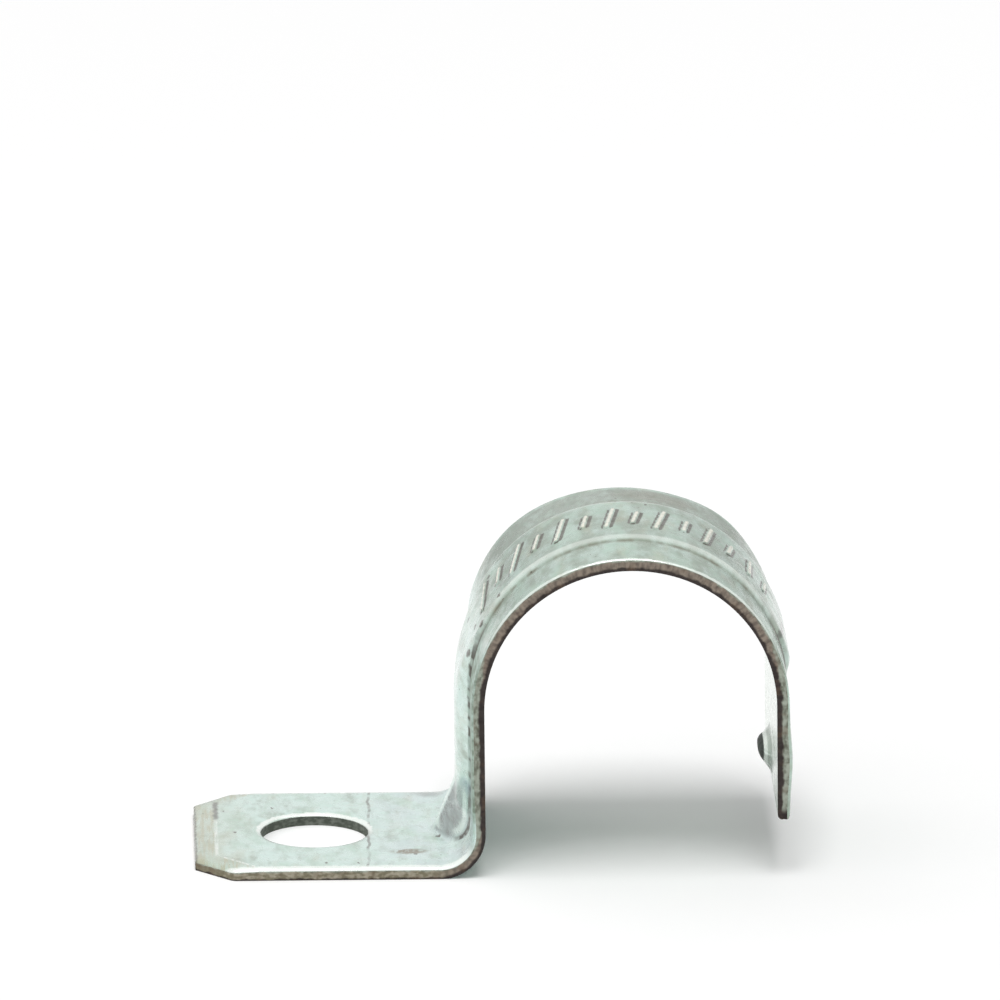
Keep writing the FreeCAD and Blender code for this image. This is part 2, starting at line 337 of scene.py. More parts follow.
def heights(run, across):
    """Heights of the raised face and of the back, each from its own flat face, outward."""
    raised, back = pressed_forms(run, across)
    swell = waviness(run, across) * smooth(edge_distance(run, across))
    raised = raised - COIN_DROP * np.clip(1 - nose_distance(run, across) / COIN_WIDTH, 0, 1)
    arch = smooth((run - BEND_END) / 3) * (1 - smooth((run - ARCH_END) / 2))
    finer = 1 - EDGE_FINER * arch
    raised = raised - rolled(edge_distance(run, across) / finer, EDGE_ROLL) * finer
    from_hole = np.hypot(run, across) - HOLE_R
    raised = raised - np.where(run < HOLE_PATCH, rolled(from_hole, HOLE_ROLL), 0)
    raised = raised + LEG_SWELL * bell(run, ARCH_END + LEG_SWELL_SPAN[0], LEG_SWELL_SPAN[1])
    back = back + rolled(LEG_END - run, END_ROLL)
    return raised + swell, back + swell * smooth((run - FOOT_END) / 2)


# ---------------------------------------------------------------- the flat map's mesh

ROLL_SHARES = (0.0, 0.03, 0.1, 0.22, 0.4, 0.65)     # places across a rolled edge, from the edge inward
RIB_TOP = 3.4           # inside of this, the columns are wider apart


def spaced(start, end, step):
    """Evenly spaced places from start up to, not including, end."""
    count = max(1, round(abs(end - start) / step))
    return list(np.linspace(start, end, count + 1)[:-1])


def row_places():
    """Places along the strip, closer together where the forms are finer."""
    stretches = (                               # where each begins, and its step
        (NOSE_X + EDGE_ROLL[0], 0.18),          # the coined band
        (NOSE_X + COIN_WIDTH, 0.22),
        (-HOLE_PATCH, 0.24),                    # beside the hole
        (HOLE_PATCH, 0.22),
        (FOOT_END - 0.8, 0.065),                # the gusset's tip
        (FOOT_END + 1.0, 0.11),                 # the bend
        (BEND_END + 2.2, 0.2),                  # the riser
        (run_at_arch(26), 0.115),               # the ticks
        (run_at_arch(155), 0.17))               # the free leg
    ends = [start for start, step in stretches[1:]] + [LEG_END - EDGE_ROLL[0]]
    roll = [EDGE_ROLL[0] * share for share in ROLL_SHARES]
    rows = [NOSE_X + place for place in roll]
    for (start, step), end in zip(stretches, ends):
        rows += spaced(start, end, step)
    return np.array(rows + [LEG_END - place for place in roll[::-1]])


def column_places():
    """Places across the strip, as shares of the half width, from -1 to 1."""
    half = [HALF_WIDTH - EDGE_ROLL[0] * share for share in ROLL_SHARES]
    half += spaced(HALF_WIDTH - EDGE_ROLL[0], HOLE_PATCH, 0.36)
    half += spaced(HOLE_PATCH, RIB_TOP, 0.13)
    half += spaced(RIB_TOP, 0, 0.19)
    return np.array([-place for place in half] + [0.0] + half[::-1]) / HALF_WIDTH


def flat_map():
    """Vertices (run, across) and quads of the strip's flat map, with rings round the hole."""
    rows, columns = row_places(), column_places()
    first_row, last_row = (int(np.argmin(np.abs(rows - x))) for x in (-HOLE_PATCH, HOLE_PATCH))
    places = columns * HALF_WIDTH
    first_col, last_col = (int(np.argmin(np.abs(places - y))) for y in (-HOLE_PATCH, HOLE_PATCH))
    points, quads, index = [], [], {}

    def vertex(row, col):
        if (row, col) not in index:
            half = HALF_WIDTH - max(0.0, NOSE_CORNER - (rows[row] - NOSE_X))
            index[row, col] = len(points)
            points.append((rows[row], columns[col] * half))
        return index[row, col]

    for row in range(len(rows) - 1):
        for col in range(len(columns) - 1):
            if first_row <= row < last_row and first_col <= col < last_col:
                continue
            corners = ((row, col), (row + 1, col), (row + 1, col + 1), (row, col + 1))
            quads.append([vertex(*corner) for corner in corners])

    square = [(row, first_col) for row in range(first_row, last_row)]
    square += [(last_row, col) for col in range(first_col, last_col)]
    square += [(row, last_col) for row in range(last_row, first_row, -1)]
    square += [(first_row, col) for col in range(last_col, first_col, -1)]
    loop = [vertex(row, col) for row, col in square]
    outer = np.array([points[i] for i in loop])
    angle = np.arctan2(outer[:, 1], outer[:, 0])
    inner = HOLE_R * np.stack([np.cos(angle), np.sin(angle)], 1)
    for ring in range(1, HOLE_RINGS + 1):
        share = 1 - (1 - ring / HOLE_RINGS) ** 2.0      # closer together towards the hole
        new = list(range(len(points), len(points) + len(loop)))
        points += [tuple(point) for point in outer * (1 - share) + inner * share]
        for k in range(len(loop)):
            after = (k + 1) % len(loop)
            quads.append([loop[k], loop[after], new[after], new[k]])
        loop = new
    return np.array(points), quads


def border_loops(quads):
    """The closed loops of vertices along the flat map's borders, in their faces' order."""
    follows = {}
    seen = {(quad[k], quad[(k + 1) % 4]) for quad in quads for k in range(4)}
    for start, end in seen:
        if (end, start) not in seen:
            follows[start] = end
    loops = []
    while follows:
        loop, here = [], min(follows)
        while here in follows:
            loop.append(here)
            here = follows.pop(here)
        loops.append(loop)
    return loops


# ---------------------------------------------------------------- the bent mesh

SHEAR_STEPS = (0.12, 0.3, 0.48, 0.62, 0.78, 0.92)   # rows down a sheared face, as shares
SHEAR_TORN = (0.3, 0.25)        # share of the sheet at which the tearing begins, and over which it grows
SHEAR_INSET = 0.006             # in mm, of the whole sheared face
TORN_INSET = (0.02, 0.03)       # further in where it tore, evenly and roughly


def sheared_rows(points, loop, faces):
    """Positions down the sheared face under one border loop: smooth above, torn below."""
    flat = points[loop]
    tangent = np.roll(flat, -1, 0) - np.roll(flat, 1, 0)
    outward = np.stack([tangent[:, 1], -tangent[:, 0]], 1)
    outward /= np.linalg.norm(outward, axis=1)[:, None]
    x, z, nx, nz = raised_face(flat[:, 0])
    direction = np.stack([outward[:, 0] * nz, outward[:, 1], -outward[:, 0] * nx], 1)
    top, bottom = faces[0][loop], faces[1][loop]
    length = np.concatenate([[0], np.cumsum(np.linalg.norm(np.diff(flat, axis=0), axis=1))])
    rows = []
    for share in SHEAR_STEPS:
        torn = smooth((share - SHEAR_TORN[0]) / SHEAR_TORN[1])
        coarse = [noise.noise(Vector((place * 5.0, share * 2.5, 11.0))) for place in length]
        fine = [noise.noise(Vector((place * 13.0, share * 3.0, 4.0))) for place in length]
        rough = np.array([a + 0.6 * b for a, b in zip(coarse, fine)])
        inset = -SHEAR_INSET - torn * (TORN_INSET[0] + TORN_INSET[1] * np.abs(rough))
        rows.append(top * (1 - share) + bottom * share + direction * inset[:, None])
    return rows


def joined(above, below):
    """Faces that join one closed row of vertices to the row below it."""
    next_above, next_below = (row[1:] + row[:1] for row in (above, below))
    return [list(face) for face in zip(next_above, above, below, next_below)]


def strap_mesh():
    """The whole strap as one closed mesh, with the faces' and the sheared faces' materials apart.
    The attribute strip holds each vertex's place on the flat map, with its share of the sheet's
    thickness from the raised face, hollow holds how hollow or crested the pressed forms are, and
    which flank of each tick is lit, for painted highlights and shade, and forms holds the heights of
    the pressed bend and of the nib."""
    points, quads = flat_map()
    run, across = points[:, 0], points[:, 1]
    x, z, nx, nz = raised_face(run)
    raised, back = heights(run, across)
    outside = np.stack([x + nx * raised, across, z + nz * raised], 1)
    inside = np.stack([x + nx * (back - SHEET), across, z + nz * (back - SHEET)], 1)

    count = len(points)
    pressed, nib = form_shares(run, across)
    vertices = [outside, inside]
    strip = [np.column_stack([points, np.full(count, share)]) for share in (0.0, 1.0)]
    hollow = list(hollowness(run, across))
    forms = [np.column_stack([pressed, nib, np.zeros(count)])] * 2
    faces = [list(quad) for quad in quads] + [[i + count for i in quad[::-1]] for quad in quads]
    total, plated = 2 * count, len(faces)
    for loop in border_loops(quads):
        above = loop
        for share, row in zip(SHEAR_STEPS, sheared_rows(points, loop, (outside, inside))):
            below = list(range(total, total + len(loop)))
            total += len(loop)
            vertices.append(row)
            strip.append(np.column_stack([points[loop], np.full(len(loop), share)]))
            hollow.append(np.zeros(len(loop)))
            forms.append(np.zeros((len(loop), 3)))
            faces += joined(above, below)
            above = below
        faces += joined(above, [i + count for i in loop])

    mesh = bpy.data.meshes.new("strap_sheet")
    mesh.from_pydata((np.concatenate(vertices) * MM).tolist(), [], faces)
    mesh.polygons.foreach_set("material_index", [int(index >= plated) for index in range(len(faces))])
    mesh.polygons.foreach_set("use_smooth", [True] * len(faces))
    kept = (("strip", "FLOAT_VECTOR", "vector", strip), ("forms", "FLOAT_VECTOR", "vector", forms),
            ("hollow", "FLOAT", "value", hollow))
    for name, kind, field, values in kept:
        attribute = mesh.attributes.new(name, kind, "POINT")
        attribute.data.foreach_set(field, np.concatenate(values).ravel())
    mesh.update()
    return mesh


# ---------------------------------------------------------------- materials

PALE = (0.62, 0.775, 0.72, 1)
# Dull tone for mottles, and painted shade beside the gusset and round the nib
DULL = (0.32, 0.395, 0.325, 1)
GREEN = (0.46, 0.62, 0.52, 1)
BLUISH = (0.62, 0.73, 0.73, 1)
OLIVE = (0.47, 0.47, 0.34, 1)
# Dark for grime and marks, and for painted shade in creases and beside the gusset
GRIME_AND_SHADE = (0.09, 0.078, 0.06, 1)
# Painted highlight
PAINTED_HIGHLIGHT = (0.91, 0.95, 0.91, 1)
# Painted highlight on the ticks' tops
CREAM_HIGHLIGHT = (0.93, 0.91, 0.80, 1)
# Painted highlight on crests
CREST_HIGHLIGHT = (0.80, 0.92, 0.86, 1)
SHADED = (0.32, 0.37, 0.32, 1)
# Brown for stains, and for painted shade along the rib's roots
BROWN = (0.18, 0.145, 0.085, 1)
# Painted shade on facets
FACET_SHADE = (0.33, 0.36, 0.35, 1)
# Painted white reflection
REFLECTED_WHITE = (0.90, 0.97, 0.90, 1)
STEEL_BLUE = (0.30, 0.39, 0.43, 1)
FLANGE_GREY = (0.24, 0.29, 0.23, 1)
# Painted shade on the nib
NIB_SHADE = (0.04, 0.048, 0.04, 1)
CUT_PLATED = (0.39, 0.43, 0.36, 1)
CUT_SPECK = (0.15, 0.16, 0.12, 1)
CUT_BROWN = (0.30, 0.25, 0.20, 1)
CUT_DARK = (0.17, 0.14, 0.115, 1)
CUT_PALE = (0.43, 0.395, 0.305, 1)
CUT_OLIVE = (0.22, 0.20, 0.13, 1)
CUT_TORN = (0.026, 0.019, 0.018, 1)
HOLE_DARK = (0.085, 0.10, 0.08, 1)
HOLE_PALE = (0.19, 0.21, 0.18, 1)
RUST = (0.16, 0.10, 0.06, 1)

PLATE_METALLIC = 0.8
PLATE_COAT = 0.6        # clear passivation, on the foot and riser; thinner over the arch
COAT_ROUGHNESS = 0.14
PLATE_ROUGHNESS = (0.20, 0.42)
ETCHED_ROUGHNESS = 0.30         # added where the plate is etched
SHEARED_METALLIC = 0.45
SHEARED_ROUGHNESS = (0.5, 0.75)
EVEN = (1, 1, 1)
CLOUDY = (1, 0.4, 1)    # stretches noise across the strip

# Spots on the plate: run, across, radius
SPOTS = (
    (-2.6, 4.5, 0.10), (-5.0, -0.4, 0.13), (-5.6, 3.9, 0.09), (0.8, 7.5, 0.10), (7.7, -1.6, 0.14),
    (6.2, -5.2, 0.11), (0.6, -6.9, 0.12), (2.6, -7.0, 0.10),
    (run_at_arch(88), 5.1, 0.10), (run_at_arch(98), 3.2, 0.11), (run_at_arch(14), -3.4, 0.26),
    (run_at_arch(34), 2.4, 0.22), (run_at_arch(9), -4.2, 0.24), (run_at_arch(26), -3.6, 0.24),
    (run_at_arch(38), -3.6, 0.18), (run_at_arch(22), -2.2, 0.22), (run_at_arch(18), 1.5, 0.20))
# Stains on the plate, and one patch of painted shade: the middle (run, across), then half the length and
# half the width
FOOT_STAIN = ((5.8, -4.7), (1.4, 0.60))
HEAT_STAIN = ((BEND_END + 1.7, -3.4), (0.7, 1.1))
FAR_SHADE = ((FOOT_END - 0.3, 7.3), (1.1, 0.9))
CROWN_STAIN = ((run_at_arch(103), 6.0), (3.2, 1.4))
RIB_CREASE = ((run_at_arch(164), 0.9), (run_at_arch(159.5), -4.25))     # a short crease near the rib's end
TOOL_LINE = 3.38        # run of a faint line that a tool left across the foot


class Shading:
    """A Principled material, with short calls for the node kinds that repeat. Masks go from 0 to 1.
    The colour is painted layer by layer, and plugged into the shader last."""

    def __init__(self, name, colour):
        self.material = bpy.data.materials.new(name)
        self.material.use_nodes = True
        self.nodes = self.material.node_tree.nodes
        self.links = self.material.node_tree.links
        self.nodes.clear()
        self.shader = self.nodes.new("ShaderNodeBsdfPrincipled")
        self.links.new(self.shader.outputs[0], self.nodes.new("ShaderNodeOutputMaterial").inputs[0])
        self.strip = self.attribute("strip", "Vector")
        self.run, self.across, self.share = self.parts(self.strip)
        self.colour = colour

    def attribute(self, name, output):
        node = self.nodes.new("ShaderNodeAttribute")
        node.attribute_name = name
        return node.outputs[output]

    def plug(self, socket, value):
        """Link a socket to an input, or write a constant there."""
        if isinstance(value, bpy.types.NodeSocket):
            self.links.new(value, socket)
        else:
            socket.default_value = value

    def vector(self, operation, a, b=(0, 0, 0)):
        node = self.nodes.new("ShaderNodeVectorMath")
        node.operation = operation
        self.plug(node.inputs[0], a)
        self.plug(node.inputs[1], b)
        return node.outputs["Value" if operation == "LENGTH" else "Vector"]

    def math(self, operation, a, b=0.0):
        node = self.nodes.new("ShaderNodeMath")
        node.operation = operation
        self.plug(node.inputs[0], a)
        self.plug(node.inputs[1], b)
        return node.outputs[0]

    def chain(self, operation, values):
        result = values[0]
        for value in values[1:]:
            result = self.math(operation, result, value)
        return result

    def product(self, *values):
        return self.chain("MULTIPLY", values)

    def total(self, *values):
        return self.chain("ADD", values)

    def greatest(self, *values):
        return self.chain("MAXIMUM", values)

    def minus(self, a, b):
        return self.math("SUBTRACT", a, b)

    def size(self, value):
        return self.math("ABSOLUTE", value)

    def wobble(self, value, amount):
        """Noise that swings either way from 0, by half the amount at most."""
        return self.product(self.minus(value, 0.5), amount)

    def parts(self, vector):
        node = self.nodes.new("ShaderNodeSeparateXYZ")
        self.plug(node.inputs[0], vector)
        return node.outputs

    def ramp(self, value, start, end, low=0.0, high=1.0):
        """Value, taken smoothly from low at start to high at end."""
        node = self.nodes.new("ShaderNodeMapRange")
        node.interpolation_type = "SMOOTHSTEP"
        self.plug(node.inputs["Value"], value)
        self.plug(node.inputs["From Min"], start)
        self.plug(node.inputs["From Max"], end)
        self.plug(node.inputs["To Min"], low)
        self.plug(node.inputs["To Max"], high)
        return node.outputs["Result"]

    def between(self, value, start, full, fading, end):
        """A mask that is full from full to fading, and gone before start and after end."""
        return self.product(self.ramp(value, start, full), self.ramp(value, end, fading))

    def line(self, value, centre, edge, core, high=1.0):
        """A mask along the line where value is centre: high within core of it, gone past edge."""
        return self.ramp(self.size(self.minus(value, centre)), edge, core, 0.0, high)

    def noise(self, per_mm, detail=3.0, stretch=EVEN, shift=0.0):
        """Noise on the flat map, with per_mm features a millimetre."""
        node = self.nodes.new("ShaderNodeTexNoise")
        node.inputs["Scale"].default_value = per_mm
        node.inputs["Detail"].default_value = detail
        stretched = self.vector("MULTIPLY", self.strip, stretch)
        self.plug(node.inputs["Vector"], self.vector("ADD", stretched, (shift, shift, shift)))
        return node.outputs[0]

    def noise_vector(self, per_mm):
        node = self.nodes.new("ShaderNodeTexNoise")
        node.inputs["Scale"].default_value = per_mm
        self.plug(node.inputs["Vector"], self.strip)
        return node.outputs["Color"]

    def from_hole(self):
        """Distance from the hole's wall, on the flat map."""
        flat = self.vector("MULTIPLY", self.strip, (1, 1, 0))
        return self.minus(self.vector("LENGTH", flat), HOLE_R)

    def mix(self, share, a, b):
        node = self.nodes.new("ShaderNodeMix")
        node.data_type = "RGBA"
        self.plug(node.inputs["Factor"], share)
        self.plug(node.inputs[6], a)
        self.plug(node.inputs[7], b)
        return node.outputs[2]

    def paint(self, mask, colour):
        """Lay a colour over the earlier ones."""
        self.colour = self.mix(mask, self.colour, colour)

    def bump(self, height, distance_mm, before=None):
        node = self.nodes.new("ShaderNodeBump")
        node.inputs["Strength"].default_value = 1.0
        node.inputs["Distance"].default_value = distance_mm * MM
        self.plug(node.inputs["Height"], height)
        if before:
            self.plug(node.inputs["Normal"], before)
        return node.outputs[0]

    def finish(self, metallic, roughness, normal):
        self.plug(self.shader.inputs["Base Color"], self.colour)
        self.shader.inputs["Metallic"].default_value = metallic
        self.plug(self.shader.inputs["Roughness"], roughness)
        self.plug(self.shader.inputs["Normal"], normal)
        return self.material


class ZincPlate(Shading):
    """Clear zinc plate over pressed steel: mottled, handled, dirty in its creases."""

    def __init__(self):
        super().__init__("zinc_plate", PALE)
        self.hollow = self.attribute("hollow", "Fac")
        self.pressed, self.nib, _ = self.parts(self.attribute("forms", "Vector"))
        self.aside = self.size(self.across)
        swing = self.vector("SUBTRACT", self.noise_vector(3.0), (0.5, 0.5, 0.5))
        self.wander = self.vector("MULTIPLY", swing, (0.5, 0.5, 0))
        self.fine = self.noise(2.4, 4.0, shift=17.0)
        self.mottle = self.noise(2.6, 4.0, CLOUDY, shift=5.0)
        self.broken = self.ramp(self.noise(0.9, 4.0, (1, 0.2, 1), shift=91.0), 0.40, 0.62, 0.25, 1.0)
        self.outside = self.ramp(self.share, 0.5, 0.4)
        self.over_arch = self.between(self.run, *map(run_at_arch, (15, 35, 145, 165)))

    def patch(self, place, edge, core, strength=1.0):
        """A mask over a place on the flat map, given as its middle and its half sizes, with a
        wandering outline. Edge and core are shares of the half sizes."""
        (run, across), (half_length, half_width) = place
        offset = self.vector("SUBTRACT", self.vector("ADD", self.strip, self.wander), (run, across, 0))
        scaled = self.vector("MULTIPLY", offset, (1 / half_length, 1 / half_width, 0))
        return self.ramp(self.vector("LENGTH", scaled), edge, core, 0.0, strength)

    def paint_mottles(self):
        """Cloudy patches: dull over the arch, paler on the foot and riser, bluish by the bend."""
        pale_zone = self.ramp(self.run, run_at_arch(10), run_at_arch(35), 1.0, 0.0)
        clouds = self.product(self.noise(0.5, 4.0, CLOUDY, shift=2.0), 0.5)
        clouds = self.total(clouds, self.product(self.noise(1.6, 5.0, CLOUDY, shift=9.0), 0.5))
        dull_from = self.ramp(pale_zone, 0, 1, 0.36, 0.47)
        dull_to = self.ramp(pale_zone, 0, 1, 0.60, 0.72)
        least = self.ramp(pale_zone, 0, 1, 0.40, 0.0)
        self.paint(self.ramp(clouds, dull_from, dull_to, least), DULL)
        self.paint(self.ramp(self.noise(0.7, 4.0, CLOUDY, shift=21.0), 0.46, 0.68, 0.0, 0.65), GREEN)
        by_bend = self.between(self.run, 2.0, 5.5, BEND_END, BEND_END + 2.0)
        blue = self.ramp(self.noise(0.5, 2.0, shift=50.0), 0.35, 0.6, 0.0, 0.7)
        self.paint(self.product(by_bend, blue), BLUISH)
        by_nose = self.ramp(self.run, -3.0, -6.5, 0.0, 0.10)
        olive = self.total(self.noise(0.9, 5.0, (1, 0.35, 1), shift=33.0), by_nose)
        self.paint(self.ramp(olive, 0.52, 0.76, 0.0, 0.34), OLIVE)
        self.paint(self.ramp(self.run, -3.2, -6.5, 0.0, 0.22), OLIVE)
        self.paint(self.ramp(self.mottle, 0.55, 0.72, 0.0, 0.30), DULL)

    def paint_nose(self):
        """The coined band: soft olive scrapes, a pale lip with a painted highlight, a short dark groove
        and a dark end.
        """
        from_end = self.minus(self.run, NOSE_X)
        diagonal = self.minus(self.total(self.run, HALF_WIDTH - NOSE_X - NOSE_CORNER), self.aside)
        from_outline = self.math("MINIMUM", from_end, self.product(diagonal, math.sqrt(0.5)))
        scrape = self.noise(2.0, 2.0, (2.4, 0.22, 1), shift=61.0)
        shaky = self.product(self.fine, 0.3)
        coined = self.ramp(self.total(from_outline, shaky), COIN_WIDTH + 0.3, COIN_WIDTH)
        self.paint(self.product(coined, self.ramp(scrape, 0.40, 0.66, 0.20, 0.85)), OLIVE)
        lip = self.line(from_outline, COIN_WIDTH + 0.05, 0.16, 0.05)
        lip = self.product(lip, self.ramp(scrape, 0.35, 0.60, 0.10, 0.60))
        # Painted highlight along the coined band's lip
        self.paint(self.product(lip, self.ramp(self.across, 2.6, 1.8)), PAINTED_HIGHLIGHT)
        groove = self.line(self.total(from_end, shaky), COIN_WIDTH + 0.22, 0.26, 0.04)
        groove = self.product(groove, self.between(self.across, 2.0, 2.6, 5.6, 6.3))
        self.paint(self.product(groove, 0.8), GRIME_AND_SHADE)
        ragged_end = self.total(from_end, self.wobble(self.fine, 0.4))
        self.paint(self.ramp(ragged_end, 0.20, 0.04, 0.0, 0.7), GRIME_AND_SHADE)

    def paint_arch(self):
        """The far flange gets painted shade, and a broken brown line of painted shade runs along the
        rib's roots.
        """
        far = self.between(
            self.across, RIB_ROOT - 0.1, RIB_ROOT + 0.3, HALF_WIDTH - 0.8, HALF_WIDTH - 0.4)
        # Painted shade over the far flange
        shade_depth = self.ramp(self.mottle, 0.35, 0.62, 0.50, 0.95)
        self.paint(self.product(self.over_arch, far, shade_depth), SHADED)
        self.paint(self.patch(CROWN_STAIN, 1.2, 0.4, 0.35), BROWN)
        # Painted shade along the rib's roots
        root = self.line(self.total(self.aside, self.wobble(self.fine, 0.5)), RIB_ROOT, 0.42, 0.04, 0.55)
        root = self.product(root, self.between(self.run, *map(run_at_arch, (10, 30, 150, 172))))
        self.paint(self.product(root, self.broken), BROWN)

    def paint_riser(self):
        """The riser's near flange is grey, with a dark dotted line where the dome rises from it. Over
        the arch, a painted highlight runs along the rib's slopes.
        """
        on_riser = self.between(
            self.run, BEND_END + 0.2, BEND_END + 1.5, run_at_arch(12), run_at_arch(30))
        self.flange = self.product(on_riser, self.ramp(self.across, 0.2 - RIB_ROOT, -0.1 - RIB_ROOT))
        self.paint(self.product(self.flange, self.ramp(self.mottle, 0.35, 0.65, 0.35, 0.95)), FLANGE_GREY)
        root = self.line(self.total(self.across, self.wobble(self.fine, 0.5)), 0.2 - RIB_ROOT, 0.50, 0.20)
        self.riser_root = self.product(on_riser, root)
        dots = self.ramp(self.noise(1.6, 3.0, (1, 0.1, 1), shift=95.0), 0.42, 0.60, 0.30, 0.95)
        self.paint(self.product(self.riser_root, dots), GRIME_AND_SHADE)
        # Painted highlight along the rib's slopes over the arch
        bright = self.line(self.aside, RIB_ROOT - 0.55, 0.45, 0.1, 0.40)
        self.paint(self.product(bright, self.over_arch), PAINTED_HIGHLIGHT)

    def paint_marks(self):
        """Spots, the tool's line across the foot, stains, a short crease near the rib's end, and painted
        shade at the far end of the bend.
        """
        spots = self.ramp(self.noise(3.4, 2.0, shift=40.0), 0.71, 0.77, 0.0, 0.85)
        for run, across, radius in SPOTS:
            spot = ((run, across), (radius, radius * 1.3))
            spots = self.greatest(spots, self.patch(spot, 1.2, 0.6, 0.9))
        course = self.total(self.product(self.across, 0.02), TOOL_LINE)
        swaying = self.total(self.run, self.wobble(self.noise(0.5, 4.0, (0.2, 1, 1)), 0.6))
        dotted = self.ramp(self.noise(0.5, 4.0, (0.2, 1, 1), shift=71.0), 0.36, 0.54, 0.15, 0.70)
        tool_line = self.product(self.line(swaying, course, 0.13, 0.04), dotted)
        self.paint(self.greatest(spots, tool_line), GRIME_AND_SHADE)
        flecked = self.ramp(self.noise(2.5, 4.0, shift=81.0), 0.40, 0.52, 0.20, 0.92)
        self.paint(self.product(self.patch(FOOT_STAIN, 1.1, 0.4), flecked), BROWN)

        (first_run, first_across), (last_run, last_across) = RIB_CREASE
        along = self.math("DIVIDE", self.minus(self.across, first_across), last_across - first_across)
        course = self.total(self.product(along, last_run - first_run), first_run)
        crease = self.line(self.total(self.run, self.wobble(self.fine, 0.5)), course, 0.28, 0.08, 0.8)
        self.paint(self.product(crease, self.between(along, -0.1, 0.1, 0.9, 1.1)), GRIME_AND_SHADE)
        self.paint(self.patch(HEAT_STAIN, 1.1, 0.3, 0.75), STEEL_BLUE)
        # Painted shade at the far end of the bend
        self.paint(self.patch(FAR_SHADE, 1.2, 0.4, 0.7), FACET_SHADE)

    def paint_rims(self):
        """The rolled edges get a painted highlight, most on the foot and on the hole's far side."""
        uneven = self.wobble(self.fine, 0.4)
        from_side = self.total(self.minus(HALF_WIDTH, self.aside), uneven)
        on_foot = self.ramp(self.run, BEND_END - 0.6, BEND_END - 2.2)
        foot_rim = self.product(self.ramp(from_side, 0.60, 0.30, 0.0, 0.85), on_foot)
        arch_rim = self.product(self.ramp(from_side, 0.24, 0.10, 0.0, 0.6), self.over_arch)
        hole_rim = self.ramp(self.total(self.from_hole(), uneven), 0.36, 0.20, 0.0, 0.9)
        hole_rim = self.product(hole_rim, self.ramp(self.across, -1.6, 0.2, 0.15, 1.0))
        # Painted highlight along the rolled edges
        self.paint(self.product(self.greatest(foot_rim, arch_rim, hole_rim), self.outside), PAINTED_HIGHLIGHT)

    def paint_gusset(self):
        """Painted light and shade: painted shade on the grey facets, a painted highlight on the crest,
        and up the near side a painted highlight line beside a painted shadow line.
        """
        bend = self.between(self.run, FOOT_END - 1.6, FOOT_END - 0.9, BEND_END + 0.6, BEND_END + 2.2)
        bend = self.product(bend, self.outside)
        facet = self.between(self.across, -3.9, -2.6, -0.70, -0.30)
        facet = self.product(bend, facet, self.ramp(self.pressed, 0.02, 0.40))
        # Painted shade on the gusset's near facet
        self.paint(self.product(facet, self.ramp(self.mottle, 0.3, 0.7, 0.65, 1.0)), FACET_SHADE)
        far_facet = self.ramp(self.across, 0.30, 0.60)
        # Painted shade on the far side beyond the crest
        self.paint(self.product(bend, far_facet, self.ramp(self.pressed, 0.02, 0.15, 0.0, 0.8)), DULL)
        crest = self.product(self.ramp(self.aside, 0.60, 0.20), self.ramp(self.pressed, 0.02, 0.12))
        # Painted highlight on the crest
        self.paint(self.product(bend, crest, 0.8), CREST_HIGHLIGHT)
        near_side = self.product(self.ramp(self.across, -2.1, -2.8), bend)
        near_side = self.product(near_side, self.ramp(self.run, FOOT_END + 1.0, FOOT_END + 1.9))
        light_line = self.between(self.pressed, 0.26, 0.40, 0.48, 0.66)
        # Painted highlight line up the near side
        self.paint(self.product(near_side, light_line, 0.8), CREST_HIGHLIGHT)
        dark_line = self.between(self.pressed, 0.01, 0.06, 0.16, 0.27)
        patchy_shade = self.ramp(self.fine, 0.30, 0.55, 0.45, 0.95)
        # Painted shadow line beside it
        self.paint(self.product(near_side, dark_line, patchy_shade), GRIME_AND_SHADE)

    def paint_relief(self):
        """Crests and the ticks' tops get a painted highlight, and creases and the ticks' flanks away from
        the light get painted shade: less over the arch beside the ticks, and least on the foot."""
        # Painted highlight on crests and on the ticks' tops
        self.paint(self.ramp(self.hollow, -0.2, -0.9, 0.0, 0.85), self.mix(self.over_arch, CREST_HIGHLIGHT, CREAM_HIGHLIGHT))
        off_ticks = self.product(self.over_arch, self.ramp(self.aside, RIB_FLAT - 0.4, RIB_FLAT))
        # Painted shade in creases and on the ticks' flanks away from the light
        crease_shade = self.ramp(off_ticks, 0.0, 1.0, 1.0, self.product(self.broken, 0.45))
        crease_shade = self.product(crease_shade, self.ramp(self.hollow, 0.10, 0.60, 0.0, 0.90))
        off_foot = self.ramp(self.run, FOOT_END + 1.0, FOOT_END + 2.2, 0.08, 1.0)
        self.paint(self.product(crease_shade, off_foot), GRIME_AND_SHADE)

    def paint_leg(self):
        """The free leg's inner face gets a painted white reflection. Its nib gets painted shade: darker
        round its foot, and dark on its side.
        """
        inside = self.ramp(self.share, 0.6, 0.8)
        on_leg = self.ramp(self.run, ARCH_END - 3.0, ARCH_END, 0.0, 0.8)
        # Painted white reflection on the leg's inner face
        self.paint(self.product(inside, on_leg), REFLECTED_WHITE)
        on_nib = self.product(inside, self.ramp(self.nib, 0.01, 0.05))
        # Painted shade round the nib's foot
        self.paint(self.product(on_nib, self.ramp(self.nib, 0.40, 0.30, 0.0, 0.7)), DULL)
        # Painted shade on the nib's side
        self.nib_shade = self.product(on_nib, self.ramp(self.nib, 0.56, 0.66, 0.0, 0.97))
        self.paint(self.nib_shade, NIB_SHADE)

